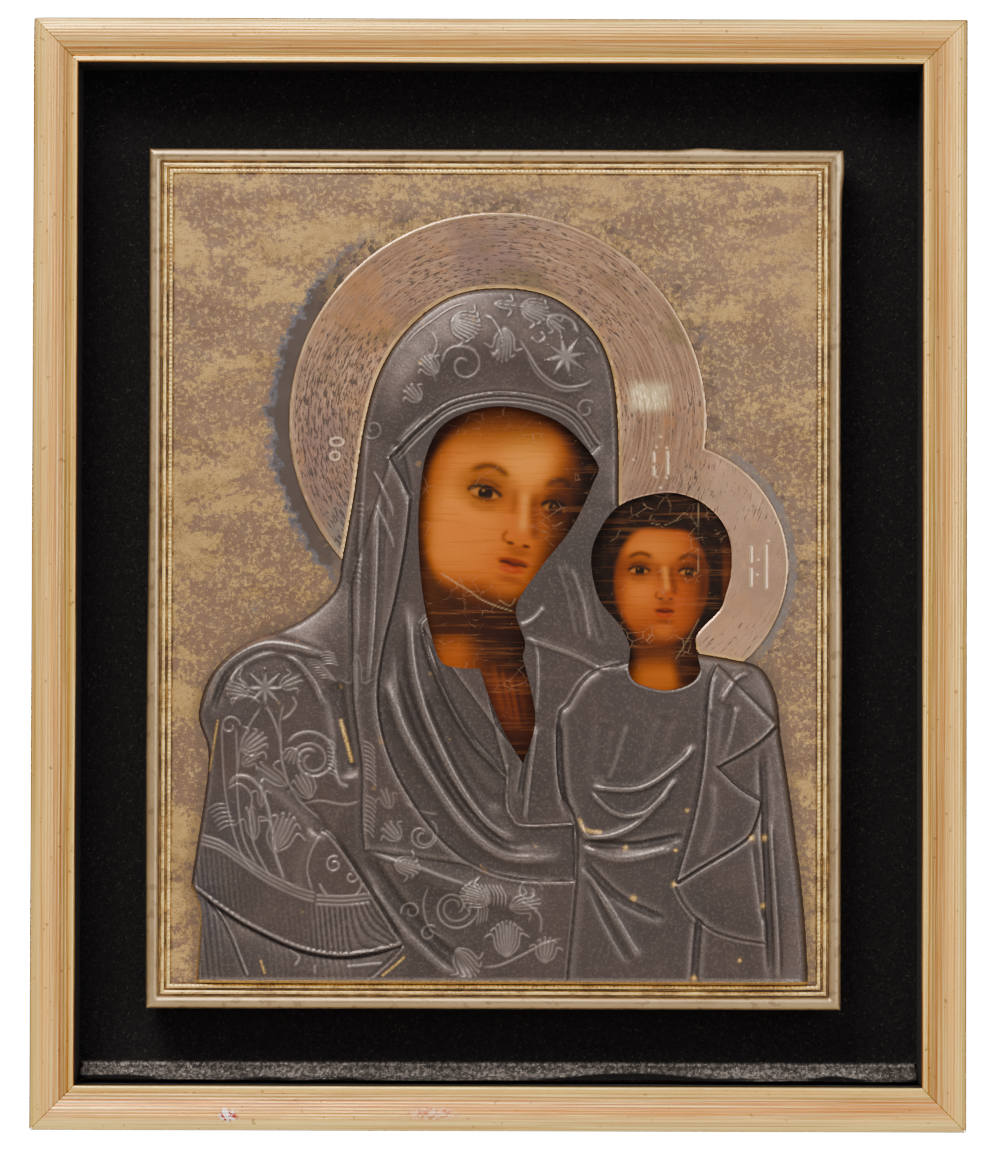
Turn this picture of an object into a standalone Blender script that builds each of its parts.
"""A painted icon panel under a raised metal cover, set in a black-lined shadow box with a gilt frame.

X runs to the right, Z up, and the front faces -Y. The origin is the hanging point: the middle of the top rail's
rear land, so the wall is the plane y = 0. The cover's figures are drawn in millimetres on a drawing of the cover,
x from its left edge and z from its bottom edge, and the drawing is scaled to the cover.
"""

import math

import bmesh
import bpy
import numpy as np
from mathutils import Vector

# Gap between pieces that touch
CONTACT_GAP = 0.0003

# Frame: four mitred rails
FRAME_WIDTH = 0.2934
FRAME_HEIGHT = 0.3490
RAIL_FACE = 0.014
RAIL_SIDE = 0.0345
CROWN_HEIGHT = 0.0376
CROWN_FROM_SIDE = 0.0045
SHOULDER_HEIGHT = 0.0364
SHOULDER_FROM_SIDE = 0.001
LIP_BEAD_RADIUS = 0.0007
LIP_BEAD_SEAT = 0.0335
LIP_REAR = 0.026
RABBET_WIDTH = 0.006
REED_PITCH = 0.0011
REED_DEPTH = 0.00012

# Shadow box: board, cloth and the strips behind the lip
BOARD_RECESS = 0.004
BOARD_THICKNESS = 0.004
BOARD_FIT = 0.0004
CLOTH_THICKNESS = 0.001
SPACER_SETBACK = 0.0003
SILL_RISE = 0.0055
SILL_DEPTH = 0.0152
SILL_EDGE = 0.0007
SILL_END_GAP = 0.0008

# Icon: wooden panel, folded metal cover and applied halo
COVER_WIDTH = 0.2182
COVER_HEIGHT = 0.2704
COVER_SHIFT_X = -0.0015
COVER_SHIFT_Z = -0.0014
COVER_SHEET = 0.0008
COVER_FLANGE = 0.014
PANEL_THICKNESS = 0.018
PANEL_EDGE_ROUND = 0.0006
HALO_SHEET = 0.0006
WINDOW_FLARE = 0.002

# Cover border
RIM_WIDTH = 0.004
RIM_HEIGHT = 0.0015
BEAD_WIDTH = 0.0016
BEAD_HEIGHT = 0.0009
BEAD_SPACING = 0.0019
BEAD_START = 0.0043

# Relief
DRAWING_WIDTH = 218.2
DRAWING_HEIGHT = 270.4
RELIEF_CELL = 0.0016
RELIEF_TRIANGLES = 6200
CURVE_STEPS = 5
OUTLINE_MARGIN = 0.9

MOTHER_HALO = (110.0, 184.9, 65.7)
CHILD_HALO = (162.3, 139.4, 39.2)

# Where the cloth's edges run on the drawing
EDGES = {
    "veil_outline": [(61.0, 140.3), (64.5, 160.1), (67.6, 182.0), (72.3, 199.3), (81.1, 213.4), (94.6, 223.8),
                     (110.9, 226.7), (127.2, 223.8), (139.8, 213.7), (146.0, 200.2), (147.9, 182.0),
                     (148.1, 158.8)],
    "robe_left": [(61.0, 140.3), (58.8, 131.2), (47.5, 121.5), (31.5, 114.9), (20.5, 105.5), (16.2, 92.3),
                  (19.3, 81.0), (18.4, 67.9), (15.8, 50.9), (14.0, 38.4)],
    "robe_low_left": [(14.0, 38.4), (16.8, 29.0), (15.6, 7.9), (15.6, -12.0)],
    "child_right": [(173.6, 111.8), (184.3, 109.9), (192.8, 107.4), (197.8, 98.3), (199.4, 84.8), (201.9, 69.4),
                    (206.3, 34.9), (208.0, 7.9), (208.0, -12.0)],
    "child_left": [(151.0, 109.0), (142.3, 107.1), (136.6, 103.0), (132.2, 96.1), (129.1, 91.1), (129.7, 70.7),
                   (134.5, 58.8), (135.0, 44.0), (134.1, 31.5), (131.9, 7.9), (131.0, -12.0)],
    "hood_hem": [(142.3, 177.0), (134.4, 187.4), (123.4, 192.1), (110.9, 193.6), (99.9, 192.1), (92.1, 188.9),
                 (83.3, 181.4), (75.8, 173.6)],
    "hood_notch": [(75.8, 173.6), (79.5, 167.0), (82.7, 161.0)],
    "veil_hem": [(82.7, 161.0), (81.1, 146.0), (78.0, 128.7), (74.2, 113.0), (72.6, 96.7), (75.8, 80.7),
                 (83.0, 66.3), (93.3, 52.8), (105.2, 44.3), (118.1, 40.6), (135.0, 40.2)],
    "front_fall": [(64.2, 135.0), (64.5, 116.2), (64.8, 97.3), (67.6, 76.0), (67.6, 59.4), (68.5, 49.7)],
    "lining_edge": [(86.1, 120.9), (88.6, 111.1), (92.7, 101.4), (100.5, 87.0), (105.2, 80.7), (113.7, 72.6)],
    "cuff": [(113.7, 77.0), (113.1, 65.0), (115.0, 60.3), (118.7, 57.8), (134.4, 58.4)],
    "fringe_edge": [(14.0, 38.4), (24.6, 30.8), (34.0, 25.2), (48.2, 18.9), (60.7, 16.7), (71.7, 18.0),
                    (80.8, 20.2)],
    "sleeve_edge": [(80.8, 20.2), (71.1, 35.9), (61.0, 50.9), (55.1, 56.9)],
    "mantle_edge": [(179.0, 108.9), (176.1, 100.5), (174.6, 78.5), (171.4, 59.7), (165.8, 39.6)],
    "mantle_zig_top": [(179.3, 76.3), (186.2, 80.1), (192.5, 84.2), (198.4, 89.8)],
    "mantle_zig_middle": [(193.1, 65.7), (186.2, 69.7), (179.3, 76.3)],
    "mantle_zig_low": [(165.8, 39.6), (173.6, 44.6), (187.7, 53.4), (191.5, 59.7), (193.1, 65.7)],
    "mantle_return": [(165.5, 39.3), (168.0, 34.0), (172.1, 29.0), (178.3, 24.6), (186.2, 22.1), (195.0, 20.8)],
    "neckline": [(173.9, 106.8), (167.5, 101.6), (162.0, 100.3), (155.1, 102.0), (151.0, 107.4)],
    "child_head": [(151.0, 107.4), (151.5, 114.0), (148.2, 120.9), (141.9, 128.9), (139.4, 140.3), (141.3, 149.1),
                   (148.5, 158.5), (161.7, 162.4), (176.1, 158.2), (183.4, 146.0), (183.4, 135.9),
                   (179.9, 124.4), (173.3, 118.4), (172.5, 114.6), (173.9, 106.8)],
    "mother_head": [(118.0, 110.8), (118.7, 115.5), (115.9, 126.2), (123.4, 138.4), (133.2, 151.0),
                    (139.8, 164.8), (141.0, 172.0), (128.8, 184.7), (110.9, 189.4), (94.9, 185.0), (88.0, 175.5),
                    (85.5, 160.6), (85.2, 146.0), (86.8, 128.7), (89.9, 115.2), (92.6, 108.9), (97.4, 107.2),
                    (104.6, 106.9)],
    "mother_hand_left": [(104.6, 106.9), (107.4, 98.3), (112.6, 86.4), (118.2, 77.1)],
    "mother_hand_right": [(118.2, 77.1), (121.4, 86.4), (122.0, 92.6), (120.9, 99.2), (118.0, 110.8)],
}

# Layers of cloth: (edges in order, a minus sign runs one backwards), height, width of the edge
LAYERS = [
    (("veil_outline", "child_right", "-robe_low_left", "-robe_left"), 3.4, 6.5),
    (("child_left", "-child_right"), 1.0, 2.6),
    (("front_fall", "-veil_hem", "-hood_notch"), 0.8, 1.8),
    (("-mother_hand_left", "-lining_edge"), -1.1, 2.0),
    (("hood_hem", "hood_notch", "veil_hem", "-cuff", "-lining_edge"), -0.9, 1.6),
    (("mantle_edge", "mantle_zig_low", "mantle_zig_middle", "mantle_zig_top"), 0.8, 1.8),
    (("mantle_zig_low", "-mantle_return"), 0.5, 1.6),
]

# Free edges of cloth over cloth: drop to the right of the edge, how far it fades, edge
LEDGES = [
    (1.5, 5.0, ("fringe_edge",)),
    (1.3, 4.0, ("sleeve_edge",)),
]

# Folds, pressed up or down: height, half width, route
FOLDS = {
    "hood_crown": (0.9, 7.0, [(73.0, 176.0), (84.0, 200.0), (110.0, 210.0), (134.0, 198.0), (143.0, 178.0)]),
    "lining_ridge": (1.9, 3.0, [(75.4, 106.4), (80.5, 88.6), (90.2, 71.9), (100.5, 57.5), (113.4, 48.4),
                                (132.2, 48.1)]),
    "lining_second": (1.2, 2.2, [(82.0, 128.7), (84.5, 103.6), (93.3, 80.7), (105.2, 60.3), (118.1, 51.6)]),
    "lining_valley": (-0.8, 1.7, [(79.2, 116.2), (81.1, 100.5), (93.0, 73.2), (109.3, 54.1), (120.3, 49.3)]),
    "lining_hollow": (-0.9, 3.0, [(88.3, 100.5), (96.8, 80.1), (104.6, 69.1), (112.8, 62.2)]),
    "lining_lip": (0.8, 1.5, [(86.1, 120.9), (92.7, 101.4), (100.5, 87.0), (113.7, 72.6)]),
    "low_ridge": (1.3, 4.5, [(70.7, 48.4), (85.8, 44.0), (98.3, 38.4), (126.6, 32.1)]),
    "low_valley": (-1.4, 2.6, [(68.5, 49.3), (77.6, 35.9), (91.1, 20.8), (104.6, 10.1)]),
    "low_roll": (0.9, 2.6, [(70.1, 39.6), (78.0, 27.7), (96.8, 10.1)]),
    "shoulder_roll": (1.5, 2.4, [(16.5, 92.3), (23.7, 107.4), (37.2, 114.9), (51.9, 112.4), (57.6, 109.3)]),
    "arm_fold": (0.9, 1.5, [(23.7, 97.3), (29.6, 108.3), (42.5, 112.1), (51.6, 103.9), (56.3, 93.9)]),
    "arm_valley": (-1.5, 3.0, [(59.0, 104.0), (61.3, 90.4), (64.0, 72.0)]),
    "arm_crease": (-1.0, 2.8, [(34.0, 77.0), (48.2, 65.3), (58.0, 54.0)]),
    "sleeve_roll": (0.9, 3.0, [(55.1, 56.9), (49.0, 45.0), (47.0, 36.0)]),
    "sleeve_border": (0.5, 1.2, [(16.8, 54.1), (32.5, 45.6), (52.9, 35.5), (70.1, 35.5)]),
    "veil_side": (0.7, 2.0, [(71.4, 160.0), (71.4, 130.0), (70.0, 100.0)]),
    "throat_fold": (0.6, 1.6, [(129.7, 141.3), (133.5, 128.7), (136.0, 116.2)]),
    "veil_low_edge": (0.7, 1.2, [(117.8, 116.8), (133.8, 111.5), (142.3, 107.4), (149.0, 108.0)]),
    "sleeve_fold": (0.8, 1.4, [(122.5, 90.4), (120.3, 73.8), (118.7, 58.4)]),
    "sleeve_end": (-0.7, 1.4, [(129.1, 91.1), (130.3, 70.7), (134.0, 59.0)]),
    "tunic_left": (-0.4, 2.0, [(143.8, 91.1), (141.3, 71.6)]),
    "tunic_right": (-0.4, 2.0, [(163.3, 93.6), (157.3, 72.2)]),
    "sash_top": (1.1, 1.8, [(138.5, 70.0), (154.8, 69.7), (167.4, 77.9), (172.7, 84.2)]),
    "sash_middle": (0.9, 1.6, [(138.5, 69.4), (147.0, 61.9), (156.0, 62.2), (167.4, 73.8)]),
    "sash_low": (1.0, 1.8, [(136.0, 59.7), (139.8, 54.1), (152.3, 57.5), (166.0, 70.0)]),
    "sash_groove": (-1.0, 1.8, [(136.0, 52.8), (153.2, 51.9), (169.2, 55.0)]),
    "sash_return": (0.9, 2.2, [(136.6, 51.5), (149.2, 47.5), (166.4, 51.2)]),
    "skirt_groove": (-0.9, 1.8, [(136.6, 47.1), (148.5, 35.5), (163.3, 28.3)]),
    "skirt_fold": (0.7, 1.8, [(136.6, 45.0), (146.0, 31.5), (155.8, 15.0)]),
    "knee_groove": (-1.0, 1.7, [(173.6, 30.0), (172.7, 18.9), (171.8, 6.0)]),
    "mantle_groove": (-0.5, 1.6, [(183.0, 97.0), (180.5, 77.6)]),
    "shoulder_fold": (0.7, 1.4, [(179.9, 96.4), (182.4, 100.5), (189.9, 106.4)]),
    "side_groove": (-0.8, 1.5, [(193.1, 83.2), (194.7, 50.3), (196.2, 7.9)]),
    "side_fold": (0.7, 1.4, [(195.0, 62.2), (197.8, 25.2), (198.4, 7.9)]),
}
FOLD_FADE = 0.14

# Heights of the stack in front of the wall
CLOTH_REAR = BOARD_RECESS + BOARD_THICKNESS + CONTACT_GAP
CLOTH_FRONT = CLOTH_REAR + CLOTH_THICKNESS
PANEL_REAR = CLOTH_FRONT + CONTACT_GAP
PANEL_FRONT = PANEL_REAR + PANEL_THICKNESS
COVER_REAR = PANEL_FRONT + CONTACT_GAP
GROUND = COVER_REAR + COVER_SHEET
HALO_REAR = GROUND + CONTACT_GAP

# Places across the front
REAR_LAND_MIDDLE = (RAIL_FACE - RABBET_WIDTH) / 2.0
FRAME_TOP = REAR_LAND_MIDDLE
FRAME_BOTTOM = FRAME_TOP - FRAME_HEIGHT
FRAME_MIDDLE_Z = (FRAME_TOP + FRAME_BOTTOM) / 2.0
OPENING_HALF_X = FRAME_WIDTH / 2.0 - RAIL_FACE
OPENING_HALF_Z = FRAME_HEIGHT / 2.0 - RAIL_FACE
RABBET_HALF_X = OPENING_HALF_X + RABBET_WIDTH
RABBET_HALF_Z = OPENING_HALF_Z + RABBET_WIDTH
COVER_LEFT = COVER_SHIFT_X - COVER_WIDTH / 2.0
COVER_BOTTOM = FRAME_MIDDLE_Z + COVER_SHIFT_Z - COVER_HEIGHT / 2.0


def clear_scene():
    for thing in list(bpy.data.objects):
        bpy.data.objects.remove(thing, do_unlink=True)


def make_collection(name):
    group = bpy.data.collections.new(name)
    bpy.context.scene.collection.children.link(group)
    return group


def make_material(name, colour, roughness, metallic):
    material = bpy.data.materials.new(name)
    material.use_nodes = True
    shader = material.node_tree.nodes["Principled BSDF"]
    shader.inputs["Base Color"].default_value = (*colour, 1.0)
    shader.inputs["Roughness"].default_value = roughness
    shader.inputs["Metallic"].default_value = metallic
    return material


def add_object(name, mesh, group, material=None):
    thing = bpy.data.objects.new(name, mesh)
    group.objects.link(thing)
    if material:
        mesh.materials.clear()
        mesh.materials.append(material)
    return thing


def box_mesh(name, low, high):
    """A box between two corners, as a mesh in world places."""
    bm = bmesh.new()
    bmesh.ops.create_cube(bm, size=1.0)
    size = Vector(high) - Vector(low)
    middle = (Vector(high) + Vector(low)) / 2.0
    bmesh.ops.scale(bm, vec=size, verts=bm.verts)
    bmesh.ops.translate(bm, vec=middle, verts=bm.verts)
    mesh = bpy.data.meshes.new(name)
    bm.to_mesh(mesh)
    bm.free()
    return mesh


def prism_mesh(name, outlines, thickness):
    """A flat outline filled in the local XY plane, with half of its thickness on each side of that plane."""
    curve = bpy.data.curves.new(name + "_outline", "CURVE")
    curve.dimensions = "2D"
    curve.fill_mode = "BOTH"
    curve.extrude = thickness / 2.0
    for outline in outlines:
        spline = curve.splines.new("POLY")
        spline.points.add(len(outline) - 1)
        for point, (a, b) in zip(spline.points, outline):
            point.co = (a, b, 0.0, 1.0)
        spline.use_cyclic_u = True
    shape = bpy.data.objects.new(name + "_outline", curve)
    bpy.context.scene.collection.objects.link(shape)
    graph = bpy.context.evaluated_depsgraph_get()
    mesh = bpy.data.meshes.new_from_object(shape.evaluated_get(graph))
    bm = bmesh.new()
    bm.from_mesh(mesh)
    bmesh.ops.remove_doubles(bm, verts=bm.verts, dist=0.000005)
    bm.to_mesh(mesh)
    bm.free()
    mesh.name = name
    bpy.data.objects.remove(shape, do_unlink=True)
    bpy.data.curves.remove(curve)
    return mesh


def cut(thing, cutter, operation="DIFFERENCE"):
    cutter.hide_render = True
    cutter.display_type = "WIRE"
    modifier = thing.modifiers.new(cutter.name, "BOOLEAN")
    modifier.operation = operation
    modifier.object = cutter
    modifier.solver = "EXACT"


def half_ellipse(places, middle, half_width, height):
    """Height of a round moulding at each place across it."""
    share = (places - middle) / half_width
    return height * np.sqrt(np.clip(1.0 - share * share, 0.0, None))


# Frame

def rail_profile():
    """The moulding's section: distance from the sight edge outward, and height from the wall."""
    reed_start = 2.6 * LIP_BEAD_RADIUS
    crown = RAIL_FACE - CROWN_FROM_SIDE
    shoulder = RAIL_FACE - SHOULDER_FROM_SIDE
    section = [(RAIL_FACE, 0.0), (RAIL_FACE, RAIL_SIDE)]
    section.append((shoulder + 0.6 * SHOULDER_FROM_SIDE, RAIL_SIDE + 0.7 * (SHOULDER_HEIGHT - RAIL_SIDE)))
    reeds = max(2, round((shoulder - reed_start) / REED_PITCH))
    steps = reeds * 3
    for i in range(steps + 1):
        across = shoulder + (reed_start - shoulder) * i / steps
        if across > crown:
            share = (across - crown) / (shoulder - crown)
            height = CROWN_HEIGHT - (CROWN_HEIGHT - SHOULDER_HEIGHT) * share ** 2
        else:
            share = (crown - across) / (crown - reed_start)
            height = CROWN_HEIGHT - (CROWN_HEIGHT - LIP_BEAD_SEAT) * share ** 2
        section.append((across, height - (REED_DEPTH if i % 3 == 0 else 0.0)))
    for i in range(6):
        angle = math.pi * i / 5.0
        section.append((LIP_BEAD_RADIUS * (1.0 + math.cos(angle)), LIP_BEAD_SEAT + LIP_BEAD_RADIUS * math.sin(angle)))
    section.append((0.0, LIP_REAR))
    section.append((RABBET_WIDTH, LIP_REAR))
    section.append((RABBET_WIDTH, 0.0))
    return section


def make_rail(name, length, turn, middle, group, material):
    """One mitred rail: the section pushed along its length, with ends slanted to the corners."""
    mesh = prism_mesh(name, [rail_profile()], length)
    half_gap = CONTACT_GAP * math.sqrt(0.5)
    for vertex in mesh.vertices:
        across, height, along = vertex.co
        reach = length / 2.0 - (RAIL_FACE - across) - half_gap
        vertex.co = (math.copysign(reach, along), -height, across - RAIL_FACE)
    mesh.update()
    rail = add_object(name, mesh, group, material)
    rail.rotation_euler = (0.0, turn, 0.0)
    rail.location = middle
    return rail


def make_frame(group, gilt):
    half_x = FRAME_WIDTH / 2.0
    make_rail("frame_top", FRAME_WIDTH, 0.0, (0.0, 0.0, FRAME_TOP), group, gilt)
    make_rail("frame_bottom", FRAME_WIDTH, math.pi, (0.0, 0.0, FRAME_BOTTOM), group, gilt)
    make_rail("frame_right", FRAME_HEIGHT, math.pi / 2.0, (half_x, 0.0, FRAME_MIDDLE_Z), group, gilt)
    make_rail("frame_left", FRAME_HEIGHT, -math.pi / 2.0, (-half_x, 0.0, FRAME_MIDDLE_Z), group, gilt)


# Shadow box

def make_spacers(group, black):
    """Black strips in the rabbet, from the cloth to the rear of the lip: the walls of the box."""
    rear = -(CLOTH_FRONT + CONTACT_GAP)
    front = -(LIP_REAR - CONTACT_GAP)
    inner_x = OPENING_HALF_X + SPACER_SETBACK
    inner_z = OPENING_HALF_Z + SPACER_SETBACK
    outer_x = RABBET_HALF_X - CONTACT_GAP
    outer_z = RABBET_HALF_Z - CONTACT_GAP
    side_z = inner_z - CONTACT_GAP
    middle = FRAME_MIDDLE_Z
    strips = {
        "spacer_top": ((-outer_x, middle + inner_z), (outer_x, middle + outer_z)),
        "spacer_bottom": ((-outer_x, middle - outer_z), (outer_x, middle - inner_z)),
        "spacer_left": ((-outer_x, middle - side_z), (-inner_x, middle + side_z)),
        "spacer_right": ((inner_x, middle - side_z), (outer_x, middle + side_z)),
    }
    for name, ((x0, z0), (x1, z1)) in strips.items():
        add_object(name, box_mesh(name, (x0, front, z0), (x1, rear, z1)), group, black)


def make_backing(group, cutters, board_material, cloth_material):
    half_x = RABBET_HALF_X - BOARD_FIT
    half_z = RABBET_HALF_Z - BOARD_FIT
    low = (-half_x, -(BOARD_RECESS + BOARD_THICKNESS), FRAME_MIDDLE_Z - half_z)
    high = (half_x, -BOARD_RECESS, FRAME_MIDDLE_Z + half_z)
    add_object("backing_board", box_mesh("backing_board", low, high), group, board_material)

    low = (-half_x, -CLOTH_FRONT, FRAME_MIDDLE_Z - half_z)
    high = (half_x, -CLOTH_REAR, FRAME_MIDDLE_Z + half_z)
    cloth = add_object("backing_cloth", box_mesh("backing_cloth", low, high), group, cloth_material)

    # the loose sill: a hollow curve from the back down to the bottom strip, as a prism along X
    floor = FRAME_MIDDLE_Z - OPENING_HALF_Z - SPACER_SETBACK + CONTACT_GAP
    rear = (CLOTH_REAR + CLOTH_FRONT) / 2.0
    outline = [(rear, floor), (rear, floor + SILL_RISE)]
    steps = 8
    for i in range(steps + 1):
        share = i / steps
        out = CLOTH_FRONT + SILL_DEPTH * share
        outline.append((out, floor + SILL_EDGE + (SILL_RISE - SILL_EDGE) * (1.0 - share) ** 1.6))
    outline.append((CLOTH_FRONT + SILL_DEPTH, floor))
    length = 2.0 * (OPENING_HALF_X + SPACER_SETBACK - SILL_END_GAP)
    mesh = prism_mesh("cloth_sill", [outline], length)
    for vertex in mesh.vertices:
        out, up, along = vertex.co
        vertex.co = (along, -out, up)
    mesh.flip_normals()
    mesh.update()
    cut(cloth, add_object("cloth_sill", mesh, cutters), "UNION")


# Relief of the cover

def smooth_route(points):
    """A round curve through the points, as more points on it."""
    p = np.array(points, dtype=float)
    if len(p) < 3:
        return p
    ends = np.vstack([2 * p[0] - p[1], p, 2 * p[-1] - p[-2]])
    route = []
    for i in range(1, len(ends) - 2):
        a, b, c, d = ends[i - 1:i + 3]
        for step in range(CURVE_STEPS):
            t = step / CURVE_STEPS
            route.append(0.5 * (2 * b + (c - a) * t + (2 * a - 5 * b + 4 * c - d) * t ** 2
                                + (3 * b - 3 * c + d - a) * t ** 3))
    route.append(p[-1])
    return np.array(route)


def edge_route(names):
    """Named edges joined end to end, where a minus sign runs one backwards."""
    joined = []
    for name in names:
        route = smooth_route(EDGES[name.lstrip("-")])
        joined.extend(route[::-1] if name.startswith("-") else route)
    return np.array(joined)


def distance_to(route, x, z, closed=False):
    """Nearest distance to a route, and how far along it that nearest place is, from 0 to 1."""
    starts = route if closed else route[:-1]
    stops = np.roll(route, -1, axis=0) if closed else route[1:]
    best = np.full(x.shape, 1e9)
    along = np.zeros(x.shape)
    count = len(starts)
    for i, ((ax, az), (bx, bz)) in enumerate(zip(starts, stops)):
        dx, dz = bx - ax, bz - az
        size = dx * dx + dz * dz
        if size < 1e-12:
            continue
        t = np.clip(((x - ax) * dx + (z - az) * dz) / size, 0.0, 1.0)
        gap = np.hypot(x - ax - t * dx, z - az - t * dz)
        nearer = gap < best
        best = np.where(nearer, gap, best)
        along = np.where(nearer, (i + t) / count, along)
    return best, along


def is_right_of(route, x, z):
    """Whether each place lies to the right of the nearest stretch of a route, going along it."""
    best = np.full(x.shape, 1e9)
    right = np.zeros(x.shape, dtype=bool)
    for (ax, az), (bx, bz) in zip(route[:-1], route[1:]):
        dx, dz = bx - ax, bz - az
        t = np.clip(((x - ax) * dx + (z - az) * dz) / (dx * dx + dz * dz), 0.0, 1.0)
        gap = np.hypot(x - ax - t * dx, z - az - t * dz)
        nearer = gap < best
        best = np.where(nearer, gap, best)
        right = np.where(nearer, (x - ax) * dz - (z - az) * dx > 0.0, right)
    return right


def is_inside(route, x, z):
    inside = np.zeros(x.shape, dtype=bool)
    for (ax, az), (bx, bz) in zip(route, np.roll(route, -1, axis=0)):
        if az == bz:
            continue
        crosses = (az > z) != (bz > z)
        inside ^= crosses & (x < (bx - ax) * (z - az) / (bz - az) + ax)
    return inside


def ease(value):
    value = np.clip(value, 0.0, 1.0)
    return value * value * (3.0 - 2.0 * value)


def border_height(edge):
    """Height of the rim and the two beads at each distance from the cover's edge, in metres."""
    height = half_ellipse(edge, RIM_WIDTH / 2.0, RIM_WIDTH / 2.0, RIM_HEIGHT)
    for i in range(2):
        middle = BEAD_START + BEAD_WIDTH / 2.0 + i * BEAD_SPACING
        height = np.maximum(height, half_ellipse(edge, middle, BEAD_WIDTH / 2.0, BEAD_HEIGHT))
    return height


def relief_height(x, z):
    """Height above the ground, in millimetres, at places on the drawing."""
    figures = edge_route(LAYERS[0][0])
    inside_figures = is_inside(figures, x, z)
    edge_gap, _ = distance_to(figures, x, z, closed=True)
    depth_in = np.clip(edge_gap - OUTLINE_MARGIN, 0.0, None)
    first_height, first_width = LAYERS[0][1:]
    height = first_height * (1.0 - np.exp(-depth_in / first_width)) + 0.7 * ease(depth_in / 1.2)
    for names, rise, width in LAYERS[1:]:
        route = edge_route(names)
        gap, _ = distance_to(route, x, z, closed=True)
        height = height + np.where(is_inside(route, x, z), rise * ease(gap / width), 0.0)
    for drop, width, names in LEDGES:
        route = edge_route(names)
        gap, along = distance_to(route, x, z)
        fade = ease(along / FOLD_FADE) * ease((1.0 - along) / FOLD_FADE)
        height = height - np.where(is_right_of(route, x, z), drop * fade * np.exp(-gap / width), 0.0)
    for rise, width, points in FOLDS.values():
        gap, along = distance_to(smooth_route(points), x, z)
        fade = ease(along / FOLD_FADE) * ease((1.0 - along) / FOLD_FADE)
        height = height + rise * fade * np.exp(-(gap / width) ** 2)
    height = height * ease(depth_in / 2.5) + 0.15 * ease(depth_in)
    return np.where(inside_figures, np.clip(height, 0.0, None), 0.0)


def grid_stations(length):
    """Where the grid's lines lie: close together over the border, then even."""
    border = BEAD_START + BEAD_SPACING + BEAD_WIDTH
    near = [RIM_WIDTH * share for share in (0.0, 0.05, 0.15, 0.35, 0.65, 0.85, 0.95, 1.0)]
    for i in range(2):
        start = BEAD_START + i * BEAD_SPACING
        near.extend(start + BEAD_WIDTH * share for share in (0.0, 0.15, 0.5, 0.85, 1.0))
    cells = max(4, round((length - 2.0 * border) / RELIEF_CELL))
    inner = [border + (length - 2.0 * border) * i / cells for i in range(1, cells)]
    return np.array(near + inner + [length - place for place in reversed(near)])


def cover_block():
    """The cover's raised front on a closed block that reaches back to the end of its folded edges."""
    columns = grid_stations(COVER_WIDTH)
    rows = grid_stations(COVER_HEIGHT)
    bm = bmesh.new()
    bmesh.ops.create_grid(bm, x_segments=len(columns) - 1, y_segments=len(rows) - 1, size=0.5)
    column = np.rint([(v.co.x + 0.5) * (len(columns) - 1) for v in bm.verts]).astype(int)
    row = np.rint([(v.co.y + 0.5) * (len(rows) - 1) for v in bm.verts]).astype(int)
    x = columns[column]
    z = rows[row]
    edge = np.minimum(np.minimum(x, COVER_WIDTH - x), np.minimum(z, COVER_HEIGHT - z))
    relief = relief_height(x / COVER_WIDTH * DRAWING_WIDTH, z / COVER_HEIGHT * DRAWING_HEIGHT)
    border = BEAD_START + BEAD_SPACING + BEAD_WIDTH
    relief = relief / DRAWING_HEIGHT * COVER_HEIGHT * ease((edge - border) / BEAD_WIDTH + 0.3)
    height = np.maximum(border_height(edge), relief)
    for vertex, across, up, out in zip(bm.verts, x, z, height):
        vertex.co = (COVER_LEFT + across, -(GROUND + out), COVER_BOTTOM + up)
    rim = [e for e in bm.edges if e.is_boundary]
    walls = bmesh.ops.extrude_edge_only(bm, edges=rim)["geom"]
    for vertex in (v for v in walls if isinstance(v, bmesh.types.BMVert)):
        vertex.co.y = -(GROUND - COVER_FLANGE)
    bmesh.ops.holes_fill(bm, edges=[e for e in bm.edges if e.is_boundary])
    bmesh.ops.recalc_face_normals(bm, faces=bm.faces)
    bmesh.ops.triangulate(bm, faces=bm.faces)
    mesh = bpy.data.meshes.new("riza")
    bm.to_mesh(mesh)
    bm.free()
    return mesh


def on_cover(route):
    """Drawing places turned into metres across and up."""
    return [(COVER_LEFT + x / DRAWING_WIDTH * COVER_WIDTH, COVER_BOTTOM + z / DRAWING_HEIGHT * COVER_HEIGHT)
            for x, z in route]


def upright_prism(name, route, rear, front):
    """An outline on the cover as a prism between two distances from the wall."""
    mesh = prism_mesh(name, [on_cover(route)], front - rear)
    middle = (front + rear) / 2.0
    for vertex in mesh.vertices:
        across, up, out = vertex.co
        vertex.co = (across, -(middle + out), up)
    mesh.update()
    return mesh


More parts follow.
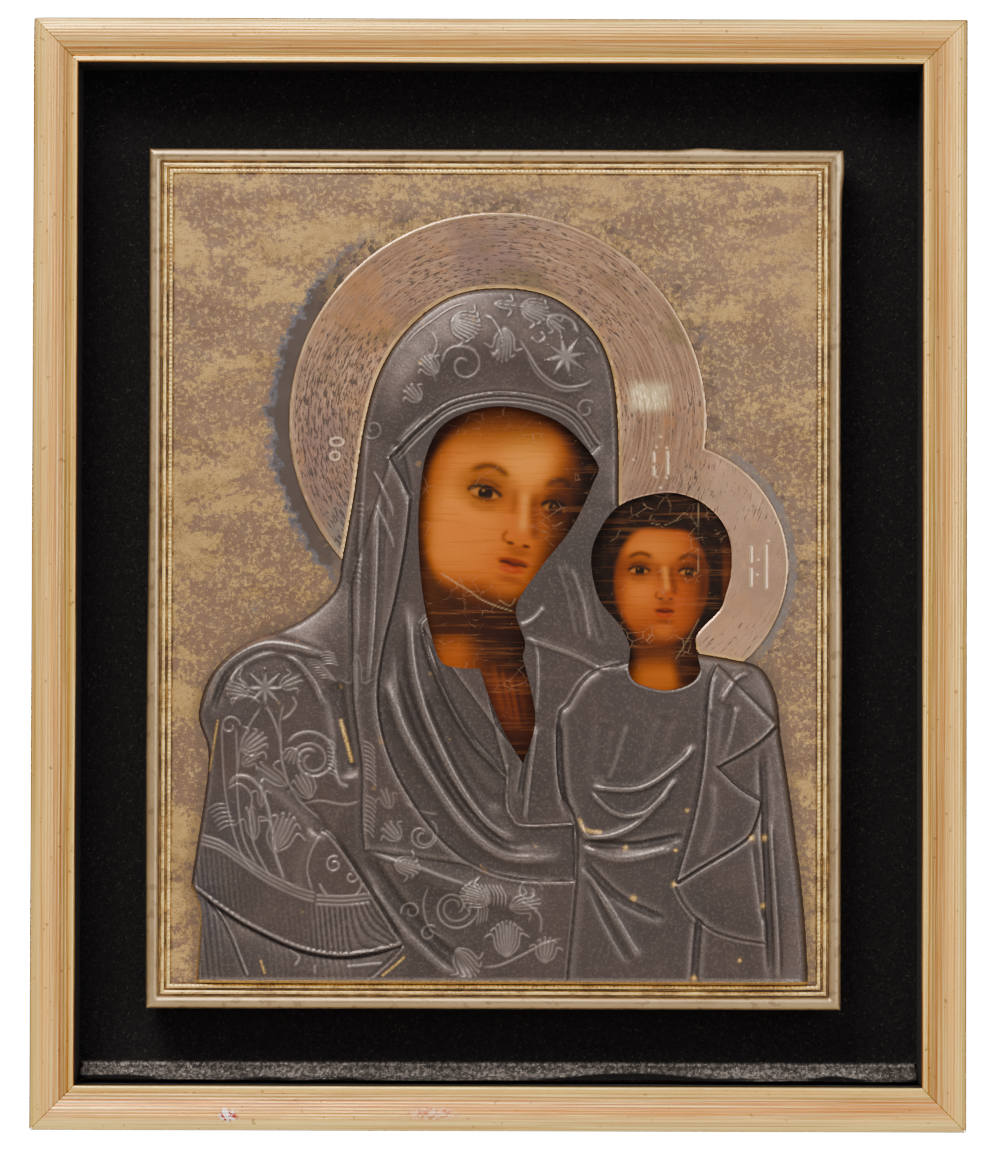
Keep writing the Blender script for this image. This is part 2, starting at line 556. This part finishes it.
def make_cover(group, cutters, metal):
    mesh = cover_block()
    dense = len(mesh.polygons)
    cover = add_object("riza", mesh, group, metal)
    thin = cover.modifiers.new("fewer_faces", "DECIMATE")
    thin.ratio = min(1.0, RELIEF_TRIANGLES / dense)
    wall = COVER_SHEET
    low = (COVER_LEFT + wall, -COVER_REAR, COVER_BOTTOM + wall)
    high = (COVER_LEFT + COVER_WIDTH - wall, 0.0, COVER_BOTTOM + COVER_HEIGHT - wall)
    cut(cover, add_object("panel_pocket", box_mesh("panel_pocket", low, high), cutters))
    windows = {
        "mother_window": ("mother_head", "mother_hand_left", "mother_hand_right"),
        "child_window": ("child_head", "neckline"),
    }
    for name, edges in windows.items():
        route = edge_route(edges)
        keep = np.hypot(*(route - np.roll(route, 1, axis=0)).T) > 0.05
        mesh = upright_prism(name, route[keep], COVER_REAR - WINDOW_FLARE, GROUND + CROWN_HEIGHT)
        cut(cover, add_object(name, mesh, cutters))
    return cover


def circle_arc(circle, start, stop, count):
    """Points on a circle, clockwise seen from the front, between two angles in degrees."""
    x, z, radius = circle
    angles = np.radians(np.linspace(start, stop, count))
    return [(x + radius * math.cos(a), z + radius * math.sin(a)) for a in angles]


def angle_on(circle, place):
    return math.degrees(math.atan2(place[1] - circle[1], place[0] - circle[0]))


def circles_meet():
    """The right-hand place where the two halo circles cross."""
    ax, az, ar = MOTHER_HALO
    bx, bz, br = CHILD_HALO
    apart = math.hypot(bx - ax, bz - az)
    along = (ar * ar - br * br + apart * apart) / (2.0 * apart)
    aside = math.sqrt(ar * ar - along * along)
    ux, uz = (bx - ax) / apart, (bz - az) / apart
    return (ax + ux * along - uz * aside, az + uz * along + ux * aside)


def make_halo(group, metal):
    """One flat sheet behind both heads, bounded by two circles, the veil, the child's head and shoulder."""
    meet = circles_meet()
    tip = EDGES["veil_outline"][0]
    shoulder = EDGES["child_right"][1]
    start = angle_on(MOTHER_HALO, tip) % 360.0
    outer = circle_arc(MOTHER_HALO, start, angle_on(MOTHER_HALO, meet), 34)
    low_right = (shoulder[0] + 3.0, shoulder[1] + 1.0)
    child_end = angle_on(CHILD_HALO, low_right)
    outer += circle_arc(CHILD_HALO, angle_on(CHILD_HALO, meet), child_end, 16)[1:]
    head = smooth_route(EDGES["child_head"])
    veil = smooth_route(EDGES["veil_outline"])
    top_left = np.argmin(np.hypot(head[:, 0] - veil[-1][0], head[:, 1] - veil[-1][1]))
    lowest = np.argmin(np.hypot(*(head - np.array(EDGES["child_right"][0])).T))
    inner = [(shoulder[0], shoulder[1] + 0.4), (EDGES["child_right"][0][0], EDGES["child_right"][0][1] + 0.4)]
    inner += [tuple(p) for p in head[lowest:top_left:-1]]
    inner += [tuple(p) for p in veil[::-1][:-2]]
    mesh = upright_prism("halo", outer + inner, HALO_REAR, HALO_REAR + HALO_SHEET)
    return add_object("halo", mesh, group, metal)


def make_panel(group, wood):
    """The wooden panel, which fills the folded cover."""
    inset = COVER_SHEET + CONTACT_GAP
    low = (COVER_LEFT + inset, -PANEL_FRONT, COVER_BOTTOM + inset)
    high = (COVER_LEFT + COVER_WIDTH - inset, -PANEL_REAR, COVER_BOTTOM + COVER_HEIGHT - inset)
    panel = add_object("icon_panel", box_mesh("icon_panel", low, high), group, wood)
    round_edges = panel.modifiers.new("round_edges", "BEVEL")
    round_edges.width = PANEL_EDGE_ROUND
    round_edges.segments = 2
    return panel


def main():
    clear_scene()
    parts = make_collection("icon_panel_in_frame")
    cutters = make_collection("cutters")
    gilt = make_material("gilt_moulding", (0.62, 0.47, 0.24), 0.38, 0.75)
    black = make_material("black_strip", (0.012, 0.012, 0.013), 0.7, 0.0)
    board = make_material("brown_board", (0.27, 0.18, 0.10), 0.85, 0.0)
    cloth = make_material("black_cloth", (0.008, 0.008, 0.009), 0.95, 0.0)
    wood = make_material("painted_wood", (0.45, 0.22, 0.06), 0.45, 0.0)
    silver = make_material("tarnished_cover", (0.36, 0.32, 0.27), 0.42, 0.85)
    halo_metal = make_material("halo_sheet", (0.50, 0.39, 0.31), 0.35, 0.9)
    make_frame(parts, gilt)
    make_spacers(parts, black)
    make_backing(parts, cutters, board, cloth)
    make_panel(parts, wood)
    make_cover(parts, cutters, silver)
    make_halo(parts, halo_metal)


main()
